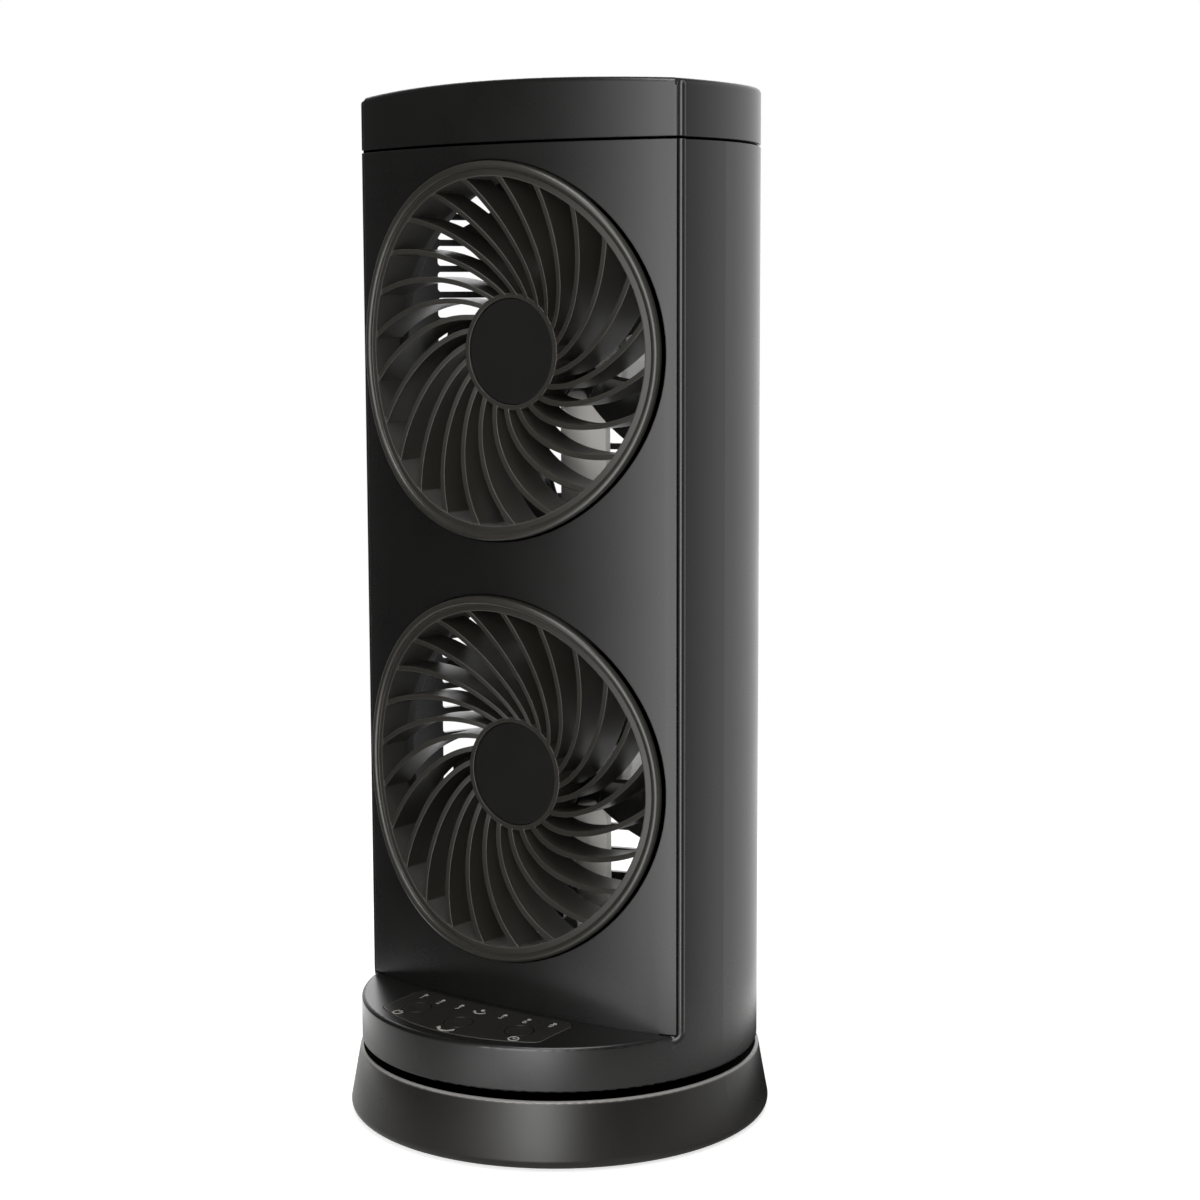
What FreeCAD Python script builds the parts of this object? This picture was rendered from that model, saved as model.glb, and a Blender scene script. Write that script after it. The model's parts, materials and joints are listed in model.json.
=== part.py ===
import FreeCAD, Part
import math
import os

from FreeCAD import Vector

# Desk tower fan: a round foot, a swinging tower with two grilles one above the other,
# and a small control shelf. Millimetres, +Z up, the air leaves towards -Y.

os.makedirs("parts", exist_ok=True)

# Clearances
slip_gap = 0.15
running_gap = 0.08
moving_gap = 0.4
thread_gap = 0.05
hole_gap = 0.3
lap = 1.0
beyond = 400.0

# Screws, by the radius of the thread
large_screw = 1.3
middle_screw = 1.1
small_screw = 1.0
head_share = 2.1
head_height = 1.2
head_room = 0.6

# Foot
foot_show = 0.8
foot_radius = 6.0
foot_seat = 0.8
foot_edge = 0.4
foot_ring_radius = 52.0
base_radius = 68.5
base_deck_radius = 64.8
base_height = 20.4
base_wall = 2.2
base_lip = 3.5
base_lip_rise = 2.4
base_edge_radius = 2.4
deck_edge_radius = 1.0
collar_radius = 57.5
collar_rise = 2.0
collar_floor = 2.4
collar_edge_radius = 0.5
column_radius = 4.0
column_bore_depth = 11.0
plate_thickness = 2.2
plate_inset = 0.2
base_screw_ring = 50.0
base_screw_angles = (45, 135, 225, 315)
base_screw_sink = 1.3
base_screw_length = 10.0
vent_rows = 7
vent_pitch = 5.0
vent_width = 2.0
vent_half_length = 16.0

# Power inlet
inlet_rise = 10.5
inlet_half_width = 4.4
inlet_half_height = 1.6
inlet_face_y = 64.5
inlet_length = 12.5
inlet_wall = 0.5
inlet_margin = 1.1
inlet_tongue_half_width = 3.1
inlet_tongue_half_height = 0.35
inlet_tongue_back = 2.0
board_thickness = 1.6
inlet_board_half_width = 14.0
inlet_board_depth = 26.0
inlet_board_front_y = 60.0
inlet_stand_radius = 2.6
inlet_stand_x = 10.5
inlet_stand_y = 38.0
inlet_board_blocks = ((-9.0, 37.0, -3.0, 43.0, 3.0), (3.0, 37.0, 9.0, 45.0, 2.0))

# Swing drive
post_radius = 9.0
post_bore = 5.8
post_flange_radius = 19.0
post_flange_thickness = 2.4
post_edge_radius = 0.5
post_tip = 1.4
post_flat_depth = 1.4
post_screw_ring = 14.5
post_screw_angles = (90, 210, 330)
post_screw_length = 4.2
washer_radius = 24.0
washer_thickness = 0.8
clip_radius = 12.0
clip_thickness = 1.0
clip_groove_depth = 0.9
clip_mouth_half_width = 4.2
clip_play = 0.05
gear_module = 1.2
gear_teeth = 40
pinion_teeth = 10
tooth_thickness = 1.42
tooth_above = 0.8
tooth_below = 1.15
tooth_tip_width = 0.75
gear_root_width = 2.35
pinion_root_width = 1.75
gear_thickness = 3.4
gear_window_radius = 3.4
gear_window_ring = 15.6
gear_window_step = 60
pinion_shaft_radius = 2.4
pinion_overhang = 0.2
pan_float = 0.3
pan_thickness = 2.2
pan_edge_radius = 0.4
pan_pad_rise = 3.7
pan_pad_radius = 4.6
pan_screw_ring = 57.6
pan_screw_angles = (50, 130, 230, 310)
pan_screw_sink = 1.6
pan_screw_length = 8.0
bush_outer_radius = 14.0
bush_height = 4.9
swing_motor_radius = 14.0
swing_motor_height = 19.0
swing_motor_offset = 8.0
swing_motor_edge = 0.8
ear_reach = 23.5
ear_half_width = 3.5
ear_thickness = 1.0
ear_hole_x = 20.5
lead_block = (7.5, 12.0, 16.5, 2.0, 3.0)
bracket_lift = 3.0
bracket_thickness = 2.0
bracket_half_width = 24.5
bracket_front = 7.0
bracket_back = 19.0
bracket_corner = 4.0
bracket_leg_radius = 3.4
bracket_window_radius = 5.0

# Tower outline
casing_radius = 64.25
casing_wall = 2.2
face_half_width = 62.5
face_sagitta = 12.5
face_crown_y = -33.0
skirt_gap = 2.5
skirt_edge_radius = 0.6
rim_height = 37.0
rim_radius = 1.1
shelf_rise = 0.066
shelf_band = 8.0
shelf_inner = 20.0
seam_height = 306.5
seam_gap = 0.9
seam_depth = 1.0
seam_bead_step = 0.5
crown_height = 325.7
crown_drop = 1.65
cap_edge_radius = 1.8
cap_rim_depth = 2.5
cap_rim_gap = 0.35
cap_rim_wall = 1.6
cap_rim_height = 3.0
bead_radius = 1.3
bead_circle = 64.68
bead_angle = 17.46
bead_bend = 2.6
bead_sink = 1.3
bead_lean = 50.0
bead_run_out = 4.0
bead_top_drop = 0.9
line_radius = 0.25
line_offset = 1.35
panel_half_width = 61.15
panel_thickness = 2.2
panel_foot = 3.5
panel_foot_half_width = 56.0
panel_post_radius = 2.9
panel_screw_length = 7.0
panel_bore_depth = 4.6
tongue_half_height = 5.0
tongue_outer_x = 57.2
tongue_thickness = 1.8
tongue_back_y = -12.0
tongue_rise = 8.0
tongue_drop = 12.0
socket_radius = 4.9
socket_bore_depth = 7.0
socket_drop = 1.6

# Fans
lower_fan_height = 111.6
fan_spacing = 132.5
ring_outer = 57.6
ring_band = 55.0
ring_inner = 53.0
ring_proud = 3.0
ring_round = 1.2
ring_back_y = -14.0
band_set_back = 1.5
aperture_gap = 0.5
hub_radius = 18.0
hub_y = -22.9
hub_depth = 11.5
hub_wall = 3.0
hub_floor = 4.5
hub_cap_radius = 16.4
hub_cap_thickness = 1.6
hub_cap_sink = 0.4
hub_cap_gap = 0.1
vane_count = 24
vane_sweep = 36.0
vane_hook = 12.0
vane_turn = 4.5
vane_bulge = 1.5
vane_thickness = 1.6
vane_depth = 12.0
vane_set_back = 0.3
vane_bite = 1.2
vane_steps = 10
flange_radius = 59.4
flange_thickness = 1.4
tab_circle = 62.0
tab_angles = (58, 122, 238, 302)
tab_radius = 4.2
tab_y = -22.0
tab_thickness = 2.6
tab_bite = 2.5
shroud_inner = 54.6
shroud_wall = 1.9
shroud_depth = 6.0
standoff_radius = 3.0
standoff_ring = 57.5
standoff_spread = 6.0
blade_count = 5
blade_tip = 51.6
blade_camber = 0.09
blade_stations = (
    (15.0, 20.0, -46.0, 1.8, 0.0),
    (34.0, 29.0, -36.0, 1.6, 6.0),
    (53.6, 35.0, -27.0, 1.4, 16.0),
)
blade_starts = {"lower": 46.0, "upper": 33.0}
impeller_hub_radius = 17.0
impeller_hub_wall = 2.0
impeller_hub_front = 3.0
impeller_hub_edge = 2.5
impeller_boss_radius = 4.0
impeller_front_y = -9.5
impeller_back_y = 10.5
impeller_press = 0.02
shaft_radius = 1.5
motor_radius = 15.0
motor_length = 20.0
motor_edge = 1.2
motor_boss_radius = 4.5
motor_boss_rise = 2.5
motor_screw_ring = 10.0
motor_screw_angles = (90, 210, 330)
motor_screw_length = 6.0
mount_y = 14.0
mount_thickness = 2.5
mount_bore = 5.0
mount_margin = 2.5
mount_screw_length = 7.5
strap_half_width = 9.0
strap_corner = 2.5

# Air intake at the back
slot_pitch = 8.6
slot_height = 6.5
slot_rows = 12
slot_width = 23.0
slot_starts = (54.0, 28.0, 2.0, -24.0, -50.0)
slot_corner = 1.2

# Controls
button_radius = 4.4
button_ring = 51.2
button_spread = 23.7
button_gap = 0.35
button_proud = 0.15
button_stem_radius = 1.7
button_flange = 1.1
button_flange_thickness = 1.2
dimple_radius = 24.0
dimple_depth = 0.25
lens_radius = 0.7
lens_gap = 0.1
lens_proud = 0.12
lens_count = 7
lens_pitch = 8.7
lens_bow = 112.0
lens_crown_y = -39.2
lamp_half_width = 0.8
lamp_height = 0.7
overlay_half_width = 31.5
overlay_outer = 60.0
overlay_thickness = 0.6
overlay_proud = 0.1
overlay_back = 2.0
overlay_corner = 3.0
circuit_lift = 6.0
circuit_half_width = 31.0
circuit_radius = 59.5
circuit_back_y = -34.0
circuit_screw_x = 11.0
circuit_screw_y = -45.5
circuit_screw_length = 5.5
circuit_post_radius = 2.8
switch_half_width = 3.0
switch_height = 1.0
switch_plunger_radius = 1.5
switch_plunger_rise = 1.4

# Heights and places that follow from the sizes above
base_z = foot_show
deck_z = base_z + base_height
collar_z = deck_z + collar_rise
deck_under_z = collar_z - collar_floor
plate_z = base_z + plate_inset
plate_top_z = plate_z + plate_thickness
inlet_z = base_z + inlet_rise
inlet_board_z = inlet_z - inlet_half_height
post_flange_z = deck_under_z - post_flange_thickness
washer_top_z = collar_z + washer_thickness
pan_z = washer_top_z + pan_float
pan_top_z = pan_z + pan_thickness
pan_pad_z = pan_z + pan_pad_rise
bush_top_z = pan_z + bush_height
gear_z = bush_top_z + moving_gap
gear_top_z = gear_z + gear_thickness
clip_z = gear_top_z + 2 * clip_play
clip_top_z = clip_z + clip_thickness + 2 * clip_play
post_top_z = clip_top_z + post_tip
bracket_z = gear_top_z + bracket_lift
bracket_top_z = bracket_z + bracket_thickness
swing_motor_top_z = bracket_top_z + swing_motor_height
skirt_z = deck_z + skirt_gap
circuit_z = skirt_z + circuit_lift
circuit_top_z = circuit_z + board_thickness
rim_z = foot_show + rim_height
seam_z = foot_show + seam_height
cap_z = seam_z + seam_gap
crown_z = foot_show + crown_height
lower_fan_z = foot_show + lower_fan_height
upper_fan_z = lower_fan_z + fan_spacing
fan_heights = {"lower": lower_fan_z, "upper": upper_fan_z}
face_radius = (face_half_width ** 2 + face_sagitta ** 2) / (2 * face_sagitta)
face_centre_y = face_crown_y + face_radius
crown_radius = face_half_width ** 2 / (2 * crown_drop)
inner_radius = casing_radius - casing_wall
base_mouth = base_radius - base_lip
clip_groove_radius = post_radius - clip_groove_depth
post_flat = post_radius - post_flat_depth
pinion_y = gear_module * (gear_teeth + pinion_teeth) / 2
swing_motor_y = pinion_y + swing_motor_offset
shroud_outer = shroud_inner + shroud_wall
shroud_back_y = ring_back_y + shroud_depth
mount_back_y = mount_y + mount_thickness
motor_back_y = mount_back_y + motor_length
hub_cap_y = hub_y + hub_cap_sink
x_axis = Vector(1, 0, 0)
y_axis = Vector(0, 1, 0)
z_axis = Vector(0, 0, 1)
origin = Vector(0, 0, 0)
pieces = {}


def box(x0, y0, z0, x1, y1, z1):
    return Part.makeBox(x1 - x0, y1 - y0, z1 - z0, Vector(x0, y0, z0))


def rod(radius, start, end):
    return Part.makeCylinder(radius, (end - start).Length, start, end - start)


def upright(radius, x, y, z0=-beyond, z1=beyond):
    return rod(radius, Vector(x, y, z0), Vector(x, y, z1))


def across(radius, z, y0=-beyond, y1=beyond, x=0.0):
    return rod(radius, Vector(x, y0, z), Vector(x, y1, z))


def around(radius, degrees):
    angle = math.radians(degrees)
    return radius * math.cos(angle), radius * math.sin(angle)


def front_half(half_width, z0, z1):
    return box(-half_width, -beyond, z0, half_width, 0, z1)


def edges_along(shape, axis):
    return [edge for edge in shape.Edges if abs(edge.tangentAt(edge.FirstParameter).dot(axis)) > 0.9]


def circle_edges(shape, place):
    # The round edges whose centre lies at the given height along Y.
    return [edge for edge in shape.Edges if edge.isClosed() and abs(edge.CenterOfMass.y - place) < 0.01]


def rounded_wire(corners):
    bends = []
    count = len(corners)
    for index in range(count):
        point, radius = corners[index]
        if radius == 0:
            bends.append((point, None, point))
            continue
        to_last = (corners[index - 1][0] - point).normalize()
        to_next = (corners[(index + 1) % count][0] - point).normalize()
        half = to_last.getAngle(to_next) / 2
        reach = radius / math.tan(half)
        inward = (to_last + to_next).normalize()
        crown = point + inward * (radius / math.sin(half) - radius)
        bends.append((point + to_last * reach, crown, point + to_next * reach))
    edges = []
    for index in range(count):
        start, crown, end = bends[index]
        if crown is not None:
            edges.append(Part.Arc(start, crown, end).toShape())
        following = bends[(index + 1) % count][0]
        if (following - end).Length > 1e-6:
            edges.append(Part.makeLine(end, following))
    return Part.Wire(edges)


def turned(corners):
    wire = rounded_wire([(Vector(r, 0, z), radius) for r, z, radius in corners])
    return Part.Face(wire).revolve(origin, z_axis, 360)


def ring(outer, inner, z0, z1):
    return turned([(inner, z0, 0), (outer, z0, 0), (outer, z1, 0), (inner, z1, 0)])


def screw(place, heading, thread, length):
    # A screw whose head bears on the given place, with a cross recess.
    head_radius = thread * head_share
    top = place - heading * head_height
    body = rod(head_radius, top, place).fuse(rod(thread, place, place + heading * length))
    side = x_axis if abs(heading.x) < 0.5 else y_axis
    for direction in (side, heading.cross(side)):
        along = direction * (head_radius * 0.62)
        width = direction.cross(heading) * (head_radius * 0.13)
        corners = [top - along - width, top + along - width, top + along + width, top - along + width]
        recess = Part.Face(Part.makePolygon(corners + corners[:1])).extrude(heading * (head_height * 0.55))
        body = body.cut(recess)
    return body


def face_body(shrink, z0=-beyond, z1=beyond):
    # Everything behind the bowed front, the bow moved back by shrink.
    return upright(face_radius - shrink, 0, face_centre_y, z0, z1)


def face_y(x, proud):
    return face_centre_y - math.sqrt((face_radius + proud) ** 2 - x ** 2)


def tower_plan(shrink):
    back = casing_radius - shrink
    front = face_radius - shrink
    y = (back ** 2 + face_centre_y ** 2 - front ** 2) / (2 * face_centre_y)
    x = math.sqrt(back ** 2 - y ** 2)
    right = Vector(x, y, 0)
    left = Vector(-x, y, 0)
    rear_arc = Part.Arc(right, Vector(0, back, 0), left).toShape()
    front_arc = Part.Arc(left, Vector(0, face_centre_y - front, 0), right).toShape()
    return Part.Face(Part.Wire([rear_arc, front_arc]))


def tower_prism(shrink, z0, z1):
    return tower_plan(shrink).translated(Vector(0, 0, z0)).extrude(Vector(0, 0, z1 - z0))


def shelf_z(radius):
    return rim_z + shelf_rise * (casing_radius - radius)


def shelf_slab(top_gap, bottom_gap, outer):
    # A conical layer that follows the top of the control shelf.
    return turned([
        (shelf_inner, shelf_z(shelf_inner) - bottom_gap, 0),
        (outer, shelf_z(outer) - bottom_gap, 0),
        (outer, shelf_z(outer) - top_gap, 0),
        (shelf_inner, shelf_z(shelf_inner) - top_gap, 0),
    ])


def bead(side, z0, z1, shrink=0):
    x, y = around(bead_circle, -bead_angle)
    return upright(bead_radius - shrink, side * x, y, z0, z1)


def bead_top(side, z0, z1):
    # A length of bead with a round upper end.
    x, y = around(bead_circle, -bead_angle)
    ball = Part.makeSphere(bead_radius, Vector(side * x, y, z1 - bead_radius))
    return bead(side, z0, z1 - bead_radius).fuse(ball)


def bead_foot(side):
    # The foot of the bead bends forward and runs out into the rim of the shelf.
    x, y = around(bead_circle, -bead_angle)
    lean_x, lean_y = around(1.0, -90.0 + bead_lean)
    forward = Vector(-side * lean_x, lean_y, 0)
    start = Vector(side * x, y, rim_z - bead_sink + bead_bend)
    turn = start + forward * bead_bend
    middle = turn - (forward + z_axis) * (bead_bend * math.sqrt(0.5))
    bottom = turn - z_axis * bead_bend
    end = bottom + forward * bead_run_out
    path = Part.Wire([Part.Arc(start, middle, bottom).toShape(), Part.makeLine(bottom, end)])
    section = Part.Wire(Part.makeCircle(bead_radius, start, z_axis))
    return path.makePipeShell([section], True, False).fuse(Part.makeSphere(bead_radius, end))


def button_places():
    return [around(button_ring, -90 + step * button_spread) for step in (-1, 0, 1)]


def lens_places():
    # A shallow arc of lenses, one pitch apart.
    places = []
    for index in range(lens_count):
        x = (index - (lens_count - 1) / 2) * lens_pitch
        places.append((x, lens_crown_y + lens_bow - math.sqrt(lens_bow ** 2 - x ** 2)))
    return places


def gear(teeth, root_width, bottom, top):
    pitch = gear_module * teeth / 2
    root = pitch - tooth_below * gear_module
    tip = pitch + tooth_above * gear_module
    flank = [(root, root_width), (pitch, tooth_thickness), (tip, tooth_tip_width)]
    points = []
    for index in range(teeth):
        middle = 2 * math.pi * index / teeth
        for radius, width in flank:
            points.append((radius, middle - width / 2 / radius))
        for radius, width in reversed(flank):
            points.append((radius, middle + width / 2 / radius))
    corners = [Vector(r * math.cos(a), r * math.sin(a), bottom) for r, a in points]
    return Part.Face(Part.makePolygon(corners + corners[:1])).extrude(Vector(0, 0, top - bottom))


# Foot shell with its deck, the collar under the tower and four screw columns
post_hole = post_radius + slip_gap
base_shell = turned([
    (base_mouth, base_z, 0),
    (base_radius, base_z, base_edge_radius),
    (base_deck_radius, deck_z, deck_edge_radius),
    (collar_radius, deck_z, 0),
    (collar_radius, collar_z, collar_edge_radius),
    (post_hole, collar_z, 0),
    (post_hole, deck_under_z, 0),
    (collar_radius - base_wall, deck_under_z, 0),
    (collar_radius - base_wall, deck_z - base_wall, 0),
    (base_deck_radius - base_wall, deck_z - base_wall, deck_edge_radius),
    (base_mouth, base_z + base_lip_rise, 0),
])
base_screw_places = [around(base_screw_ring, angle) for angle in base_screw_angles]
post_screw_places = [around(post_screw_ring, angle) for angle in post_screw_angles]
large_bore = large_screw + thread_gap
large_hole = large_screw + hole_gap
columns = []
column_bores = []
for x, y in base_screw_places:
    columns.append(upright(column_radius, x, y, plate_top_z, deck_under_z + lap))
    column_bores.append(upright(large_bore, x, y, plate_top_z - lap, plate_top_z + column_bore_depth))
for x, y in post_screw_places:
    column_bores.append(upright(large_bore, x, y, deck_under_z - lap, collar_z - moving_gap))
mouth_x = inlet_half_width + inlet_margin
mouth_z = inlet_half_height + inlet_margin
inlet_back_y = inlet_face_y - inlet_length
inlet_mouth = box(-mouth_x, inlet_back_y, inlet_z - mouth_z, mouth_x, beyond, inlet_z + mouth_z)
pieces["base_shell"] = base_shell.fuse(columns).cut(column_bores + [inlet_mouth])

# Bottom plate with its vents, feet and screws
plate_cuts = []
base_screws = []
for x, y in base_screw_places:
    sink_z = plate_z + base_screw_sink
    plate_cuts.append(upright(large_screw * head_share + head_room, x, y, plate_z - lap, sink_z))
    plate_cuts.append(upright(large_hole, x, y))
    base_screws.append(screw(Vector(x, y, sink_z), z_axis, large_screw, base_screw_length))
feet = []
for angle in (0, 90, 180, 270):
    x, y = around(foot_ring_radius, angle)
    plate_cuts.append(upright(foot_radius + slip_gap, x, y, plate_z - lap, plate_z + foot_seat))
    foot = upright(foot_radius, x, y, 0, plate_z + foot_seat)
    sole = [edge for edge in foot.Edges if edge.isClosed() and abs(edge.CenterOfMass.z) < 0.01]
    feet.append(foot.makeFillet(foot_edge, sole))
for row in range(vent_rows):
    y = (row - (vent_rows - 1) / 2) * vent_pitch - vent_width / 2
    vent = box(-vent_half_length, y, plate_z - lap, vent_half_length, y + vent_width, plate_top_z + lap)
    plate_cuts.append(vent)
board_under_z = inlet_board_z - board_thickness
inlet_stands = []
for side in (1, -1):
    x = side * inlet_stand_x
    inlet_stands.append(upright(inlet_stand_radius, x, inlet_stand_y, plate_top_z, board_under_z))
base_plate = upright(base_mouth - slip_gap, 0, 0, plate_z, plate_top_z)
pieces["base_plate"] = base_plate.cut(plate_cuts).fuse(inlet_stands)
pieces["rubber_feet"] = Part.makeCompound(feet)
pieces["base_screws"] = Part.makeCompound(base_screws)

# Swivel post, thrust washer, fixed gear and its retaining ring
post = turned([
    (post_bore, post_flange_z, 0),
    (post_flange_radius, post_flange_z, post_edge_radius),
    (post_flange_radius, deck_under_z, 0),
    (post_radius, deck_under_z, 0),
    (post_radius, clip_z, 0),
    (clip_groove_radius, clip_z, 0),
    (clip_groove_radius, clip_top_z, 0),
    (post_radius, clip_top_z, 0),
    (post_radius, post_top_z, post_edge_radius),
    (post_bore, post_top_z, 0),
])
flats = []
for side in (1, -1):
    x0, x1 = sorted((side * post_flat, side * 2 * post_radius))
    flats.append(box(x0, -post_radius, gear_z, x1, post_radius, post_top_z + lap))
post_screws = []
for x, y in post_screw_places:
    flats.append(upright(large_hole, x, y, post_flange_z - lap, deck_under_z + lap))
    post_screws.append(screw(Vector(x, y, post_flange_z), z_axis, large_screw, post_screw_length))
pieces["swivel_post"] = post.cut(flats)
pieces["post_screws"] = Part.makeCompound(post_screws)
pieces["thrust_washer"] = ring(washer_radius, post_radius + moving_gap, collar_z, washer_top_z)
bore_flat = post_flat + thread_gap
gear_bore = upright(post_radius + thread_gap, 0, 0)
gear_bore = gear_bore.common(box(-bore_flat, -beyond, -beyond, bore_flat, beyond, beyond))
gear_windows = []
for angle in range(0, 360, gear_window_step):
    gear_windows.append(upright(gear_window_radius, *around(gear_window_ring, angle)))
swing_gear = gear(gear_teeth, gear_root_width, gear_z, gear_top_z)
pieces["swing_gear"] = swing_gear.cut([gear_bore] + gear_windows)
clip_under_z = clip_z + clip_play
clip = ring(clip_radius, clip_groove_radius + thread_gap, clip_under_z, clip_under_z + clip_thickness)
pieces["retaining_ring"] = clip.cut(front_half(clip_mouth_half_width, 0, beyond))


# Power inlet at the back of the foot
def inlet_block(shrink, y0, y1):
    half_x = inlet_half_width - shrink
    half_z = inlet_half_height - shrink
    block = box(-half_x, y0, inlet_z - half_z, half_x, y1, inlet_z + half_z)
    return block.makeFillet(half_z - thread_gap, edges_along(block, y_axis))


inlet_room = inlet_block(inlet_wall, inlet_back_y + inlet_tongue_back, inlet_face_y + lap)
inlet_tongue = box(
    -inlet_tongue_half_width, inlet_back_y + lap, inlet_z - inlet_tongue_half_height,
    inlet_tongue_half_width, inlet_face_y - inlet_tongue_back, inlet_z + inlet_tongue_half_height)
pieces["power_inlet"] = inlet_block(0, inlet_back_y, inlet_face_y).cut(inlet_room).fuse(inlet_tongue)
inlet_board = box(
    -inlet_board_half_width, inlet_board_front_y - inlet_board_depth, board_under_z,
    inlet_board_half_width, inlet_board_front_y, inlet_board_z)
blocks = []
for x0, y0, x1, y1, rise in inlet_board_blocks:
    blocks.append(box(x0, y0, inlet_board_z, x1, y1, inlet_board_z + rise))
pieces["inlet_board"] = inlet_board.multiFuse(blocks)

# Tower casing: round back, skirt and control shelf in one moulding
wall = turned([
    (inner_radius, skirt_z, 0),
    (casing_radius, skirt_z, skirt_edge_radius),
    (casing_radius, seam_z, 0),
    (inner_radius, seam_z, 0),
])
front_space = front_half(2 * casing_radius, rim_z - panel_foot - moving_gap, beyond).cut(face_body(0))
wall = wall.cut(front_space)
shelf = turned([
    (inner_radius, rim_z - shelf_band, 0),
    (casing_radius, rim_z - shelf_band, 0),
    (casing_radius, rim_z, rim_radius),
    (shelf_inner, shelf_z(shelf_inner), 0),
    (shelf_inner, shelf_z(shelf_inner) - casing_wall, 0),
    (inner_radius, shelf_z(inner_radius) - casing_wall, 0),
])
shelf = shelf.cut(face_body(-slip_gap))
additions = [shelf]
line_cuts = []
for side in (1, -1):
    additions.append(bead(side, rim_z - bead_sink + bead_bend, seam_z))
    additions.append(bead_foot(side))
    x, y = around(casing_radius, -bead_angle + line_offset)
    line_cuts.append(upright(line_radius, side * x, y, rim_z + lap, seam_z + lap))
bores = []
pan_screw_places = [around(pan_screw_ring, angle) for angle in pan_screw_angles]
for x, y in pan_screw_places:
    socket = upright(socket_radius, x, y, pan_pad_z, rim_z - socket_drop)
    additions.append(socket.common(upright(inner_radius + casing_wall / 2, 0, 0)))
    bores.append(upright(large_bore, x, y, pan_pad_z - lap, pan_pad_z + socket_bore_depth))
circuit_screw_places = [(circuit_screw_x, circuit_screw_y), (-circuit_screw_x, circuit_screw_y)]
for x, y in circuit_screw_places:
    additions.append(upright(circuit_post_radius, x, y, circuit_top_z, shelf_z(math.hypot(x, y)) - lap))
    bore_top_z = circuit_top_z + circuit_screw_length
    bores.append(upright(middle_screw + thread_gap, x, y, circuit_top_z - lap, bore_top_z))
casing = wall.multiFuse(additions).removeSplitter()
panel_space = face_body(-slip_gap, rim_z, seam_z + lap).cut(face_body(panel_thickness + slip_gap))
panel_space = panel_space.common(front_half(panel_half_width + slip_gap, 0, beyond))
casing = casing.cut(bores + [panel_space])

# Rows of intake slots with rounded corners
slot_depth = casing_wall + lap
section = Part.makePolygon([
    Vector(0, inner_radius - slot_depth, 0),
    Vector(0, casing_radius + slot_depth, 0),
    Vector(0, casing_radius + slot_depth, slot_height),
    Vector(0, inner_radius - slot_depth, slot_height),
    Vector(0, inner_radius - slot_depth, 0),
])
slot = Part.Face(section).revolve(origin, z_axis, slot_width)
radial = []
for edge in slot.Edges:
    straight = edge.Curve.TypeId == "Part::GeomLine"
    if straight and abs(edge.tangentAt(edge.FirstParameter).z) < 0.1:
        radial.append(edge)
slot = slot.makeFillet(slot_corner, radial)
slots = []
for fan_z in fan_heights.values():
    for row in range(slot_rows):
        z = fan_z + (row - (slot_rows - 1) / 2) * slot_pitch - slot_height / 2
        for start in slot_starts:
            slots.append(slot.rotated(origin, z_axis, start).translated(Vector(0, 0, z)))
casing = casing.cut(line_cuts + slots)

# Openings in the shelf for the overlay, the buttons and the indicator lenses
def overlay_zone(grow, top_gap, bottom_gap):
    zone = shelf_slab(top_gap, bottom_gap, overlay_outer + grow).cut(face_body(grow - overlay_back))
    zone = zone.common(front_half(overlay_half_width + grow, 0, beyond))
    return zone.makeFillet(overlay_corner, edges_along(zone, z_axis))


overlay_sink = overlay_thickness - overlay_proud
openings = []
for x, y in button_places():
    openings.append(upright(button_radius + button_gap, x, y, circuit_z, rim_z + rim_height))
for x, y in lens_places():
    openings.append(upright(lens_radius + lens_gap, x, y, circuit_z, rim_z + rim_height))
pieces["casing"] = casing.cut([overlay_zone(slip_gap, -rim_height, overlay_sink)] + openings)
pieces["control_overlay"] = overlay_zone(0, -overlay_proud, overlay_sink).cut(openings)

# Turntable pan that closes the skirt and turns on the post
bush_radius = post_radius + running_gap
pan_radius = inner_radius - slip_gap
pan = turned([
    (bush_radius, pan_z, 0),
    (pan_radius, pan_z, pan_edge_radius),
    (pan_radius, pan_top_z, 0),
    (bush_outer_radius, pan_top_z, 0),
    (bush_outer_radius, bush_top_z, pan_edge_radius),
    (bush_radius, bush_top_z, 0),
])
pads = []
pan_cuts = []
turntable_screws = []
for x, y in pan_screw_places:
    sink_z = pan_z + pan_screw_sink
    pads.append(upright(pan_pad_radius, x, y, pan_z, pan_pad_z).common(upright(pan_radius, 0, 0)))
    pan_cuts.append(upright(large_screw * head_share + hole_gap, x, y, pan_z - lap, sink_z))
    pan_cuts.append(upright(large_hole, x, y, pan_z - lap, pan_pad_z + lap))
    turntable_screws.append(screw(Vector(x, y, sink_z), z_axis, large_screw, pan_screw_length))
ear_places = [(ear_hole_x, swing_motor_y), (-ear_hole_x, swing_motor_y)]
ear_bore_z = pan_z + head_room
for x, y in ear_places:
    pan_cuts.append(upright(middle_screw + thread_gap, x, y, ear_bore_z, pan_top_z + lap))
pieces["turntable"] = pan.multiFuse(pads).cut(pan_cuts)
pieces["turntable_screws"] = Part.makeCompound(turntable_screws)

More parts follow.
